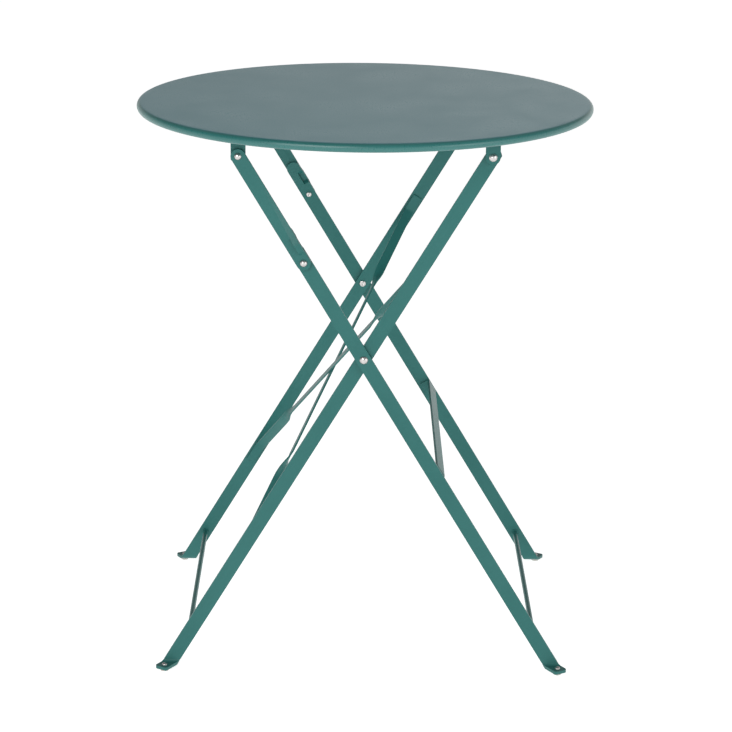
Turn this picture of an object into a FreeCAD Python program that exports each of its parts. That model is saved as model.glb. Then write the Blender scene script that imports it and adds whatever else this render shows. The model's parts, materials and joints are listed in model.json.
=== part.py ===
"""Folding bistro table: a round pressed-steel top on two crossed flat-bar leg frames.

Frame: origin on the floor under the middle of the top, +X right, +Y to the back, +Z up.
The inner frame leans right (its feet are on the left), the outer frame leans left.
Each outer leg is broken by an elbow: an upper link joins it to the left support rail.
Millimetres throughout. Every paired piece is made at the back (+Y) and mirrored to the front.
"""
import FreeCAD
import Part
import math
import os

Vector = FreeCAD.Vector

# ---- driving dimensions -------------------------------------------------------------
TOP_DIAMETER = 580.0
TOP_HEIGHT = 700.0
SHEET = 1.2                     # gauge of the pressed top
RIM_RADIUS = 5.5                # half-round rolled edge of the top
RIM_HEM = 8.0                   # how far the hem returns inwards under the top

PIVOT_HALF_SPAN = 153.5         # top pivots, left and right of the middle
PIVOT_HEIGHT = 666.0            # top pivots above the floor
SCISSOR_HEIGHT = 411.0          # where the two frames cross

BAR_WIDTH = 18.0                # flat bar of legs, links and rails
BAR_GAUGE = 4.0
LAYER_GAP = 1.0                 # room between neighbouring bars, filled by a washer
INNER_FACE = 186.0              # inner face of the inner legs, from the middle plane

LINK_LENGTH = 153.5             # top pivot to elbow
STOP_CLEARANCE = 0.3            # play left between a stop lip and its pocket

RIVET_RADIUS = 2.5
RUNNING_CLEARANCE = 0.08
WIDE_RIVET = (5.1, 4.0)         # head and tail radius where two long bars cross or meet
NARROW_RIVET = (4.5, 3.25)      # head and tail radius of the link's rivets
HEAD_RISE = 3.0
TAIL_RISE = 2.2
HEAD_PLAY = 0.25                # axial play under a head that a bar turns against
WASHER_RADIUS = 6.0
WASHER_GAUGE = 0.7

ROD_RADIUS = 3.2
ROD_HEIGHT = 47.0
WELD_RADIUS = 4.8
WELD_LENGTH = 2.4

STRETCHER_WIDTH = 18.0
STRETCHER_GAUGE = 3.0
STRETCHER_DROP = 175.0          # from the scissor pivot down the outer leg
STRETCHER_PROUD = 0.5           # stands this far beyond the leg's upper edge
STRETCHER_EAR = 14.5            # length of each end bent onto the leg

BRACE_WIDTH = 12.5
BRACE_GAUGE = 2.2
BRACE_UPPER_END = 143.0         # along the inner leg from the scissor pivot
BRACE_LOWER_END = -300.0
BRACE_PAD = 22.0                # flat end welded to the leg
BRACE_BEND = 8.0                # middle radius of the bend from the pad to the slanting run
BRACE_TWIST = (92.0, 136.0)     # where the slanting run turns from its edge to its flat
BRACE_LAP_GAP = 0.1             # between the two strips where they cross

PAD_HEIGHT = 4.0
PAD_RADIUS = 5.5
PAD_FOOT_RADIUS = 5.0           # the pad tapers a little to the floor
PAD_TAPER = 1.4
FOOT_BEND = 3.5                 # inside radius where the leg turns out into its foot
FOOT_RIVET_REACH = 10.5         # from the leg's outer face to the pad's rivet
FOOT_TIP = 9.0                  # from that rivet to the foot's square end
FOOT_CORNER = 4.0
FOOT_RIVET_RADIUS = 1.8
FOOT_HEAD_RADIUS = 3.5
FOOT_HEAD_RISE = 2.6

# ---- derived dimensions -------------------------------------------------------------
TOP_RADIUS = TOP_DIAMETER / 2
UNDERSIDE = TOP_HEIGHT - SHEET
RISE = PIVOT_HEIGHT - SCISSOR_HEIGHT
LEAN = math.degrees(math.atan2(PIVOT_HALF_SPAN, RISE))
SLOPE = PIVOT_HALF_SPAN / RISE
UPPER_LEG = math.hypot(PIVOT_HALF_SPAN, RISE)
ELBOW = UPPER_LEG - LINK_LENGTH          # scissor pivot to elbow, along the outer leg
HALF_BAR = BAR_WIDTH / 2
BEND_TOP = PAD_HEIGHT + BAR_GAUGE + FOOT_BEND     # height at which a leg starts to bend
LEG_BLANK_END = -SCISSOR_HEIGHT / math.cos(math.radians(LEAN))

LAYER_PITCH = BAR_GAUGE + LAYER_GAP
OUTER_LEG_FACE = INNER_FACE + LAYER_PITCH      # inner face of outer legs and rail ears
LINK_FACE = OUTER_LEG_FACE + LAYER_PITCH       # inner face of the upper links

# Stop lips: an edge strip of the outer leg is pressed outwards into a pocket that is
# pressed into the link in the same way, so that the elbow locks when it is straight.
LINK_LIP_RISE = 4.5
LEG_LIP_RISE = 4.3
LINK_LIP = (10.5, 15.0, 30.5, 36.5)   # up from the elbow: ramp, flat and ramp
LEG_LIP = (15.0, 19.0, 30.0, 34.0)
LINK_LIP_EDGE = 1.3             # the shear line, right of the bar's middle
LEG_LIP_EDGE = LINK_LIP_EDGE + STOP_CLEARANCE
LEG_TAIL = 50.0                 # the leg runs this far past the elbow, behind the link

LEG_END_RADIUS = 11.0           # blunt upper end of the inner legs
RAIL_BEND = 2.0                 # inside radius of the bent ears of rails and stretcher
RAIL_END_DROP = 10.0            # clipped ears end this far below the pivot
RAIL_CLIP = 5.0
BEND_STEPS = 6
ROLL_FLATS = 6                  # flats that make up the half round outside
FOLD_FLATS = 3                  # and inside the sheet
BRACE_BEND_STEPS = 3
BRACE_STEPS = 5

ALL_ROUND = 360.0
FAR = 1000.0                    # beyond every part of the table
OVERCUT = 1.0                   # how far a cutter reaches past what it cuts


# ---- small helpers ------------------------------------------------------------------
def mirrored(shape):
    """The same piece on the front side."""
    return shape.mirror(Vector(0, 0, 0), Vector(0, 1, 0))


def pair(shape):
    """One node that holds a piece at the back and its twin at the front."""
    return Part.makeCompound([shape, mirrored(shape)])


def leaned(shape, angle):
    """Turn a piece drawn upright about the scissor pivot, and lift it to its height."""
    placed = shape.copy()
    placed.rotate(Vector(0, 0, 0), Vector(0, 1, 0), angle)
    placed.translate(Vector(0, 0, SCISSOR_HEIGHT))
    return placed


def on_leg(angle, along):
    """A point on a leaning leg, measured along it from the scissor pivot."""
    turn = FreeCAD.Rotation(Vector(0, 1, 0), angle)
    return turn.multVec(Vector(0, 0, along)) + Vector(0, 0, SCISSOR_HEIGHT)


def face_of(edges):
    return Part.Face(Part.Wire(edges))


def line(start, end):
    return Part.LineSegment(start, end).toShape()


def arc(start, middle, end):
    return Part.Arc(start, middle, end).toShape()


def polygon(points):
    return Part.Face(Part.makePolygon(points + points[:1]))


def prism(points, direction):
    """Extrude a closed polygon."""
    return polygon(points).extrude(direction)


def depth_cylinder(radius, x, z, near, far):
    """A cylinder along Y between two depths."""
    return Part.makeCylinder(radius, far - near, Vector(x, near, z), Vector(0, 1, 0))


def one_solid(shape):
    clean = shape.removeSplitter()
    return clean.Solids[0] if len(clean.Solids) == 1 else clean


# ---- flat bars ----------------------------------------------------------------------
def bar(low, high, low_radius, high_radius, inner_face, gauge=BAR_GAUGE):
    """An upright flat bar whose ends are arcs about low and high, the end pivots."""
    def reach(radius):
        return math.sqrt(radius ** 2 - HALF_BAR ** 2)

    top = high + reach(high_radius)
    foot = low - reach(low_radius)
    right_low, right_high = Vector(HALF_BAR, 0, foot), Vector(HALF_BAR, 0, top)
    left_low, left_high = Vector(-HALF_BAR, 0, foot), Vector(-HALF_BAR, 0, top)
    outline = [
        line(right_low, right_high),
        arc(right_high, Vector(0, 0, high + high_radius), left_high),
        line(left_high, left_low),
        arc(left_low, Vector(0, 0, low - low_radius), right_low),
    ]
    blank = face_of(outline).extrude(Vector(0, gauge, 0))
    blank.translate(Vector(0, inner_face, 0))
    return blank


def pressed_lip(plate, inner_face, stations, edge, rise):
    """Shear a bar's right-hand edge strip along its length and press it outwards."""
    low, flat_low, flat_high, high = [ELBOW + station for station in stations]
    width = HALF_BAR - edge
    corner = Vector(edge, inner_face, low)
    window = Part.makeBox(width + OVERCUT, BAR_GAUGE, high - low, corner)
    under = [Vector(edge, inner_face, low), Vector(edge, inner_face + rise, flat_low),
             Vector(edge, inner_face + rise, flat_high), Vector(edge, inner_face, high)]
    over = [point + Vector(0, BAR_GAUGE, 0) for point in reversed(under)]
    lip = prism(under + over, Vector(width, 0, 0))
    return plate.cut(window).fuse(lip)


def drilled(plate, holes, inner_face):
    """Drill round holes, given as (height, radius), across an upright bar."""
    near, far = inner_face - OVERCUT, inner_face + BAR_GAUGE + OVERCUT
    for height, radius in holes:
        plate = plate.cut(depth_cylinder(radius, 0, height, near, far))
    return plate


def foot_run(reach):
    """Developed length from the start of the foot's bend to a point reach from the leg."""
    return (FOOT_BEND + BAR_GAUGE / 2) * math.pi / 2 + reach - FOOT_BEND


def foot_place(side, run):
    """Middle of the leg or foot at a developed length past the start of the bend."""
    return side * SLOPE * (SCISSOR_HEIGHT - BEND_TOP + run)


def foot_rivet_place(side, inner_face):
    """Where the pad's rivet passes through the foot, seen from above."""
    x = foot_place(side, foot_run(FOOT_RIVET_REACH))
    return x, inner_face + BAR_GAUGE + FOOT_RIVET_REACH


def foot_tab(side, inner_face):
    """The level part of the foot, with a square end whose corners are rounded."""
    lean = math.radians(LEAN)
    start_x, start_y = foot_place(side, foot_run(FOOT_BEND)), inner_face + BAR_GAUGE + FOOT_BEND
    x, y = foot_rivet_place(side, inner_face)
    along = Vector(side * math.sin(lean), math.cos(lean), 0)
    across = Vector(math.cos(lean), -side * math.sin(lean), 0)
    tip = Vector(x, y, PAD_HEIGHT) + along * FOOT_TIP
    half = HALF_BAR / math.cos(lean)
    outline = [Vector(start_x - half, start_y, PAD_HEIGHT), Vector(start_x + half, start_y, PAD_HEIGHT),
               tip + across * HALF_BAR, tip - across * HALF_BAR]
    blank = prism(outline, Vector(0, 0, BAR_GAUGE))
    corners = [edge for edge in blank.Edges
               if edge.BoundBox.YMin > y and edge.BoundBox.ZLength > BAR_GAUGE / 2]
    drill = Vector(x, y, PAD_HEIGHT - OVERCUT)
    hole = Part.makeCylinder(FOOT_RIVET_RADIUS, BAR_GAUGE + 2 * OVERCUT, drill)
    return blank.makeFillet(FOOT_CORNER, corners).cut(hole)


def foot_bend(side, inner_face):
    """The quarter bend between the leaning leg and the level part of its foot."""
    bend_y = inner_face + BAR_GAUGE + FOOT_BEND
    neutral = FOOT_BEND + BAR_GAUGE / 2
    half = HALF_BAR / math.cos(math.radians(LEAN))
    sections = []
    for step in range(BEND_STEPS + 1):
        turn = math.pi / 2 * step / BEND_STEPS
        x = foot_place(side, neutral * turn)
        near, far = [(bend_y - radius * math.cos(turn), BEND_TOP - radius * math.sin(turn))
                     for radius in (FOOT_BEND + BAR_GAUGE, FOOT_BEND)]
        points = [Vector(x - half, *near), Vector(x + half, *near),
                  Vector(x + half, *far), Vector(x - half, *far)]
        sections.append(Part.makePolygon(points + points[:1]))
    return Part.makeLoft(sections, True, True)


def leg(side, plate, inner_face):
    """Lean an upright plate, cut it level above the floor and join its bent foot to it."""
    room = Part.makeBox(FAR, FAR, FAR, Vector(-FAR / 2, 0, BEND_TOP))
    upright = leaned(plate, -side * LEAN).common(room)
    return one_solid(upright.fuse([foot_bend(side, inner_face), foot_tab(side, inner_face)]))


def outer_leg():
    plate = bar(LEG_BLANK_END, ELBOW + LEG_TAIL - HALF_BAR, HALF_BAR, HALF_BAR, OUTER_LEG_FACE)
    plate = pressed_lip(plate, OUTER_LEG_FACE, LEG_LIP, LEG_LIP_EDGE, LEG_LIP_RISE)
    plate = drilled(plate, [(0, RIVET_RADIUS), (ELBOW, RIVET_RADIUS)], OUTER_LEG_FACE)
    return leg(1, plate, OUTER_LEG_FACE)


def inner_leg():
    plate = bar(LEG_BLANK_END, UPPER_LEG, HALF_BAR, LEG_END_RADIUS, INNER_FACE)
    holes = [(0, RIVET_RADIUS + RUNNING_CLEARANCE), (UPPER_LEG, RIVET_RADIUS)]
    return leg(-1, drilled(plate, holes, INNER_FACE), INNER_FACE)


def upper_link():
    plate = bar(ELBOW, UPPER_LEG, HALF_BAR, HALF_BAR, LINK_FACE)
    plate = pressed_lip(plate, LINK_FACE, LINK_LIP, LINK_LIP_EDGE, LINK_LIP_RISE)
    loose = RIVET_RADIUS + RUNNING_CLEARANCE
    plate = drilled(plate, [(ELBOW, loose), (UPPER_LEG, loose)], LINK_FACE)
    return one_solid(leaned(plate, -LEAN))


# ---- bars with both ends bent -------------------------------------------------------
def channel(half_length, back, ear, gauge, bend, width):
    """A flat strip along Y with both ends bent to -Z; back is the height of its top face.

    It is drawn about X = 0, width wide, and each ear reaches ear below the top face.
    """
    outer = bend + gauge
    diagonal = math.sqrt(0.5)

    def corner(sign, radius):
        centre_y, centre_z = sign * (half_length - outer), back - outer
        return (Vector(0, centre_y + sign * radius, centre_z),
                Vector(0, centre_y + sign * radius * diagonal, centre_z + radius * diagonal),
                Vector(0, centre_y, centre_z + radius))

    out_low, out_mid, out_high = corner(1, outer)
    in_low, in_mid, in_high = corner(1, bend)
    edges = []
    foot_out = Vector(0, half_length, back - ear)
    foot_in = Vector(0, half_length - gauge, back - ear)
    flip = FreeCAD.Matrix(1, 0, 0, 0, 0, -1, 0, 0, 0, 0, 1, 0)
    half = [line(foot_in, foot_out), line(foot_out, out_low), arc(out_low, out_mid, out_high)]
    inner_half = [arc(in_high, in_mid, in_low), line(in_low, foot_in)]
    for edge in half + inner_half:
        edges += [edge, edge.transformGeometry(flip)]
    edges.append(line(out_high, flip.multVec(out_high)))
    edges.append(line(in_high, flip.multVec(in_high)))
    outline = Part.Wire(Part.__sortEdges__(edges))
    strip = Part.Face(outline).extrude(Vector(width, 0, 0))
    strip.translate(Vector(-width / 2, 0, 0))
    return strip


def support_rail(side):
    """The bar under the top whose ears carry the top pivots; side is +1 right, -1 left."""
    half_length = OUTER_LEG_FACE + BAR_GAUGE
    ear = UNDERSIDE - PIVOT_HEIGHT + RAIL_END_DROP
    rail = channel(half_length, UNDERSIDE, ear, BAR_GAUGE, RAIL_BEND, BAR_WIDTH)
    rail.translate(Vector(side * PIVOT_HALF_SPAN, 0, 0))
    x = side * PIVOT_HALF_SPAN
    low = PIVOT_HEIGHT - RAIL_END_DROP
    if side > 0:
        corner = Vector(x - HALF_BAR - OVERCUT, -FAR, PIVOT_HEIGHT - FAR)
        below = Part.makeBox(BAR_WIDTH + 2 * OVERCUT, 2 * FAR, FAR, corner)
        rounding = depth_cylinder(HALF_BAR, x, PIVOT_HEIGHT, -FAR, FAR)
        rail = rail.cut(below.cut(rounding))
    else:
        for hand in (-1, 1):
            edge = x + hand * HALF_BAR
            beyond = edge + hand * OVERCUT
            clip = [Vector(edge, -FAR, low + RAIL_CLIP), Vector(edge - hand * RAIL_CLIP, -FAR, low),
                    Vector(beyond, -FAR, low - OVERCUT), Vector(beyond, -FAR, low + RAIL_CLIP)]
            rail = rail.cut(prism(clip, Vector(0, 2 * FAR, 0)))
    rail = rail.cut(depth_cylinder(RIVET_RADIUS, x, PIVOT_HEIGHT, -FAR, FAR))
    return one_solid(rail)


def flat_stretcher():
    """The strip between the outer legs, along their upper edges below the scissor."""
    strip = channel(OUTER_LEG_FACE, 0, STRETCHER_EAR, STRETCHER_GAUGE, RAIL_BEND, STRETCHER_WIDTH)
    strip.rotate(Vector(0, 0, 0), Vector(0, 1, 0), 90)
    strip.translate(Vector(HALF_BAR + STRETCHER_PROUD, 0, -STRETCHER_DROP))
    return leaned(strip, -LEAN)


# ---- rods and braces ----------------------------------------------------------------
def lower_rod(side, half_length):
    """A round rod between two legs near the floor, with a weld fillet at each end."""
    radii = [(0, ROD_RADIUS), (half_length - WELD_LENGTH, ROD_RADIUS), (half_length, WELD_RADIUS)]
    x = side * (SCISSOR_HEIGHT - ROD_HEIGHT) * SLOPE
    outline = [Vector(0, depth, radius) for depth, radius in radii]
    outline = [Vector(0, 0, 0)] + outline + [Vector(0, half_length, 0)]
    half = polygon(outline).revolve(Vector(0, 0, 0), Vector(0, 1, 0), ALL_ROUND)
    rod = half.fuse(mirrored(half))
    rod.translate(Vector(x, 0, ROD_HEIGHT))
    return one_solid(rod)


def smooth(value):
    """An even ramp from 0 to 1."""
    value = min(1.0, max(0.0, value))
    return value * value * (3 - 2 * value)


def brace_stations():
    """Half of a brace, from its upper pad to the crossing.

    Each station gives its place along and across the frame, the strip's heading from the
    leg's direction, how far it has twisted, and how far it has moved to its own side.
    """
    middle = (BRACE_UPPER_END + BRACE_LOWER_END) / 2
    depth = INNER_FACE - BRACE_GAUGE / 2
    corner = BRACE_UPPER_END - BRACE_PAD
    heading = math.atan2(depth, corner - middle)
    tangent = BRACE_BEND * math.tan(heading / 2)
    centre = corner + tangent, depth - BRACE_BEND
    stations = [(BRACE_UPPER_END, depth, 0.0, 0.0, 0.0)]
    for step in range(BRACE_BEND_STEPS + 1):
        turn = heading * step / BRACE_BEND_STEPS
        stations.append((centre[0] - BRACE_BEND * math.sin(turn),
                         centre[1] + BRACE_BEND * math.cos(turn), turn, 0.0, 0.0))
    start, end = BRACE_TWIST
    for step in range(BRACE_STEPS + 1):
        share = step / BRACE_STEPS
        run = start + (end - start) * share
        stations.append((corner - run * math.cos(heading), depth - run * math.sin(heading),
                         heading, smooth(share) * math.pi / 2, smooth(share)))
    return stations


def brace(hand):
    """One strip of the cross brace; hand is +1 from back to front going down, else -1."""
    middle = (BRACE_UPPER_END + BRACE_LOWER_END) / 2
    upper = brace_stations()
    lower = [(2 * middle - along, -depth, heading, math.pi - twist, lap)
             for along, depth, heading, twist, lap in reversed(upper)]
    side_step = (BRACE_GAUGE + BRACE_LAP_GAP) / 2
    wires = []
    for along, depth, heading, twist, lap in upper + lower:
        run = Vector(0, -math.sin(heading), -math.cos(heading))
        level = Vector(0, -math.cos(heading), math.sin(heading))
        wide = Vector(1, 0, 0) * math.cos(twist) + level * math.sin(twist)
        thick = run.cross(wide) * (BRACE_GAUGE / 2)
        wide = wide * (BRACE_WIDTH / 2)
        centre = Vector(hand * side_step * lap, depth, along)
        corners = [centre + wide + thick, centre - wide + thick,
                   centre - wide - thick, centre + wide - thick]
        wires.append(Part.makePolygon(corners + corners[:1]))
    strip = Part.makeLoft(wires, True, True)
    return leaned(strip if hand > 0 else mirrored(strip), LEAN)


# ---- rivets, washers and glides -----------------------------------------------------
def dome(radius, rise, base):
    """A domed head that stands on an outward face at depth base."""
    sphere_radius = (radius ** 2 + rise ** 2) / (2 * rise)
    half_angle = math.asin(radius / sphere_radius) / 2
    centre, rim, tip = Vector(0, 0, 0), Vector(0, 0, radius), Vector(0, rise, 0)
    fall = sphere_radius * (1 - math.cos(half_angle))
    middle = Vector(0, rise - fall, sphere_radius * math.sin(half_angle))
    head = face_of([line(centre, rim), arc(rim, middle, tip), line(tip, centre)])
    head = head.revolve(centre, Vector(0, 1, 0), ALL_ROUND)
    head.translate(Vector(0, base, 0))
    return head


def rivet(place, size, shank, head_base, tail_base):
    """A rivet along Y: a domed head outside, a flat upset tail inside.

    A head or tail base of None leaves that end of the shank plain.
    """
    head_radius, tail_radius = size
    body = depth_cylinder(RIVET_RADIUS, 0, 0, *shank)
    if head_base is not None:
        body = body.fuse(dome(head_radius, HEAD_RISE, head_base))
    if tail_base is not None:
        body = body.fuse(depth_cylinder(tail_radius, 0, 0, tail_base - TAIL_RISE, tail_base))
    body.translate(place)
    return one_solid(body)


def washer(place, base):
    top = base + WASHER_GAUGE
    ring = depth_cylinder(WASHER_RADIUS, 0, 0, base, top)
    bore = RIVET_RADIUS + RUNNING_CLEARANCE
    ring = ring.cut(depth_cylinder(bore, 0, 0, base - OVERCUT, top + OVERCUT))
    ring.translate(place)
    return ring


def foot_pad(side, inner_face):
    """A moulded pad that clips to the foot's rivet and stands on the floor."""
    x, y = foot_rivet_place(side, inner_face)
    taper = Part.makeCone(PAD_FOOT_RADIUS, PAD_RADIUS, PAD_TAPER, Vector(x, y, 0))
    disc = Part.makeCylinder(PAD_RADIUS, PAD_HEIGHT - PAD_TAPER, Vector(x, y, PAD_TAPER))
    return one_solid(taper.fuse(disc))


def foot_rivet(side, inner_face):
    """The rivet that holds a pad: its shank fills the hole and its dome stands on the foot."""
    x, y = foot_rivet_place(side, inner_face)
    shank = Part.makeCylinder(FOOT_RIVET_RADIUS, BAR_GAUGE, Vector(x, y, PAD_HEIGHT))
    head = dome(FOOT_HEAD_RADIUS, FOOT_HEAD_RISE, 0)
    head.rotate(Vector(0, 0, 0), Vector(1, 0, 0), 90)
    head.translate(Vector(x, y, PAD_HEIGHT + BAR_GAUGE))
    return one_solid(shank.fuse(head))


# ---- the top ------------------------------------------------------------------------
def half_round(centre_x, centre_z, radius, flats):
    """Points down a half round that bulges outwards, from its top to its bottom."""
    points = []
    for step in range(flats + 1):
        angle = math.pi / 2 - math.pi * step / flats
        points.append(Vector(centre_x + radius * math.cos(angle), 0, centre_z + radius * math.sin(angle)))
    return points


def table_top():
    """A pressed sheet whose edge is rolled under in a half round and hemmed."""
    edge_x, edge_z = TOP_RADIUS - RIM_RADIUS, TOP_HEIGHT - RIM_RADIUS
    outside = half_round(edge_x, edge_z, RIM_RADIUS, ROLL_FLATS)
    inside = half_round(edge_x, edge_z, RIM_RADIUS - SHEET, FOLD_FLATS)
    hem = [Vector(edge_x - RIM_HEM, 0, end.z) for end in (outside[-1], inside[-1])]
    outline = [Vector(0, 0, TOP_HEIGHT)] + outside + hem + inside[::-1] + [Vector(0, 0, UNDERSIDE)]
    return polygon(outline).revolve(Vector(0, 0, 0), Vector(0, 0, 1), ALL_ROUND)


# ---- assembly -----------------------------------------------------------------------
def pivot_rivets_and_washers():
    """The rear fastener of each pivot by node; the right top pivot's rivet is in two halves."""
    scissor = Vector(0, 0, SCISSOR_HEIGHT)
    elbow = on_leg(-LEAN, ELBOW)
    left = Vector(-PIVOT_HALF_SPAN, 0, PIVOT_HEIGHT)
    right = Vector(PIVOT_HALF_SPAN, 0, PIVOT_HEIGHT)
    bearing = INNER_FACE + BAR_GAUGE + WASHER_GAUGE
    leg_out = OUTER_LEG_FACE + BAR_GAUGE
    link_out = LINK_FACE + BAR_GAUGE
    loose_head = link_out + HEAD_PLAY
    loose_tail = INNER_FACE - HEAD_PLAY
    loose_ear_tail = OUTER_LEG_FACE - HEAD_PLAY
    return {
        "scissor_rivets": rivet(scissor, WIDE_RIVET, (loose_tail, leg_out), leg_out, loose_tail),
        "elbow_rivets": rivet(elbow, NARROW_RIVET, (OUTER_LEG_FACE, loose_head),
                              loose_head, OUTER_LEG_FACE),
        "link_top_rivets": rivet(left, NARROW_RIVET, (loose_ear_tail, link_out),
                                 link_out, loose_ear_tail),
        "top_pivot_rivets_outer": rivet(right, WIDE_RIVET, (OUTER_LEG_FACE, leg_out), leg_out, None),
        "top_pivot_rivets_inner": rivet(right, WIDE_RIVET, (INNER_FACE, bearing), None, INNER_FACE),
        "scissor_washers": washer(scissor, OUTER_LEG_FACE - WASHER_GAUGE),
        "elbow_washers": washer(elbow, leg_out),
        "link_top_washers": washer(left, LINK_FACE - WASHER_GAUGE),
        "top_pivot_washers": washer(right, INNER_FACE + BAR_GAUGE),
    }


def build():
    """Every node by name."""
    nodes = {
        "table_top": table_top(),
        "left_support_rail": support_rail(-1),
        "right_support_rail": support_rail(1),
        "outer_flat_stretcher": flat_stretcher(),
        "outer_lower_rod": lower_rod(1, OUTER_LEG_FACE),
        "inner_lower_rod": lower_rod(-1, INNER_FACE),
        "brace_rear_to_front": brace(1),
        "brace_front_to_rear": brace(-1),
        "outer_foot_rivets": pair(foot_rivet(1, OUTER_LEG_FACE)),
        "inner_foot_rivets": pair(foot_rivet(-1, INNER_FACE)),
    }
    for name, shape in pivot_rivets_and_washers().items():
        nodes[name] = pair(shape)
    sided = {
        "{}_upper_link": upper_link(),
        "outer_{}_leg": outer_leg(),
        "inner_{}_leg": inner_leg(),
        "outer_{}_foot_pad": foot_pad(1, OUTER_LEG_FACE),
        "inner_{}_foot_pad": foot_pad(-1, INNER_FACE),
    }
    for pattern, shape in sided.items():
        nodes[pattern.format("rear")] = shape
        nodes[pattern.format("front")] = mirrored(shape)
    return nodes


os.makedirs("parts", exist_ok=True)
for node, node_shape in sorted(build().items()):
    node_shape.exportStep(os.path.join("parts", node + ".step"))
    box = node_shape.BoundBox
    print(f"{node:24s} solids {len(node_shape.Solids)} valid {node_shape.isValid()} "
          f"volume {node_shape.Volume / 1000:8.2f} cm3  z {box.ZMin:7.1f} to {box.ZMax:7.1f}")
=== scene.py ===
"""Looks of a folding bistro table in powder-coated steel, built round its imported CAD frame."""
import json
import logging
import math
from dataclasses import dataclass, field
from enum import Enum
from typing import Callable, Iterable, Sequence

import bpy
from mathutils import Matrix, Vector

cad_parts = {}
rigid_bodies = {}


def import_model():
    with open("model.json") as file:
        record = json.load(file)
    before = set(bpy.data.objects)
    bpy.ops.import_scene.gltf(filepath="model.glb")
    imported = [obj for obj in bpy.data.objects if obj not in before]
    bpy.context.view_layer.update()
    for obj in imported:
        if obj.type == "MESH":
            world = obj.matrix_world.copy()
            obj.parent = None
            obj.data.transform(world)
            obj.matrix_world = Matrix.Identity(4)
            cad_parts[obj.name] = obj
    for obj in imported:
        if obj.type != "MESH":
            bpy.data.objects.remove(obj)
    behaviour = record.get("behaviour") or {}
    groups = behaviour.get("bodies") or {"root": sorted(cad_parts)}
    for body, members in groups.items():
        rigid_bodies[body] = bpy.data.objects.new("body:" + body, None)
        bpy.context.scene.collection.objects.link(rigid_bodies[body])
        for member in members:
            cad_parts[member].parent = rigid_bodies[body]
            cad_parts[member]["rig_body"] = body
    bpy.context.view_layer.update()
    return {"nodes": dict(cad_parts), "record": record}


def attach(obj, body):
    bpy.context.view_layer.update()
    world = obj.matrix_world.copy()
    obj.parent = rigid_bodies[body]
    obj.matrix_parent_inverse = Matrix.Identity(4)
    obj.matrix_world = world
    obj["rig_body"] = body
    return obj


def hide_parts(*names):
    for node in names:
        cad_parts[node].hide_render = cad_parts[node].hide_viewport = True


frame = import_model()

LOG = logging.getLogger("bistro_table")
MM = 0.001
Point = tuple[float, float, float]
Colour = tuple[float, float, float]


class Side(Enum):
    """Which of the two leg planes a piece belongs to."""

    FRONT = "front"
    REAR = "rear"

    @property
    def sign(self) -> int:
        """Direction of this side along Y."""
        return -1 if self is Side.FRONT else 1


class Slot(Enum):
    """Material slots of the record."""

    PAINT = "painted_steel"
    RIVET = "rivet_steel"
    WASHER = "washer_plastic"
    PAD = "pad_plastic"


# ---- small tools --------------------------------------------------------------------
def deselect_all() -> None:
    """Leave edit mode and clear the selection, so that an operator acts on one piece."""
    if bpy.context.object is not None and bpy.context.object.mode != "OBJECT":
        bpy.ops.object.mode_set(mode="OBJECT")
    bpy.ops.object.select_all(action="DESELECT")


def select_only(piece: bpy.types.Object) -> None:
    """Make one piece the only selected object and the active one.

    Args:
        piece: The object to select.
    """
    deselect_all()
    piece.select_set(True)
    bpy.context.view_layer.objects.active = piece


def edit(piece: bpy.types.Object) -> None:
    """Open a piece in edit mode with nothing of it selected.

    Args:
        piece: The object to edit.
    """
    select_only(piece)
    bpy.ops.object.mode_set(mode="EDIT")
    bpy.ops.mesh.select_all(action="DESELECT")


def leave_edit() -> None:
    """Return to object mode."""
    bpy.ops.object.mode_set(mode="OBJECT")


def settle(piece: bpy.types.Object) -> None:
    """Move a piece's place into its mesh, so that its object stands at the origin.

    Args:
        piece: The finished object.
    """
    select_only(piece)
    bpy.ops.object.transform_apply(location=True, rotation=True, scale=True)


def smooth_by_angle(piece: bpy.types.Object, degrees: float = 32.0) -> None:
    """Shade a piece smooth across edges flatter than an angle.

    Args:
        piece: The object to shade.
        degrees: Edges sharper than this stay sharp.
    """
    select_only(piece)
    bpy.ops.object.shade_smooth_by_angle(angle=math.radians(degrees))


def apply_modifier(piece: bpy.types.Object, kind: str, **settings: object) -> None:
    """Add a modifier with the given settings and apply it at once.

    Args:
        piece: The object that gets it.
        kind: Blender's name for the modifier type.
        **settings: Attributes set on the modifier.
    """
    select_only(piece)
    modifier = piece.modifiers.new(kind.title(), kind)
    for name, value in settings.items():
        setattr(modifier, name, value)
    bpy.ops.object.modifier_apply(modifier=modifier.name)


def tidy_normals(piece: bpy.types.Object) -> None:
    """Merge a shape's doubles and point its faces outwards.

    Args:
        piece: A closed or open shell, before it is given a thickness.
    """
    edit(piece)
    bpy.ops.mesh.select_all(action="SELECT")
    bpy.ops.mesh.remove_doubles(threshold=0.002 * MM)
    bpy.ops.mesh.normals_make_consistent(inside=False)
    leave_edit()


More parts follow.
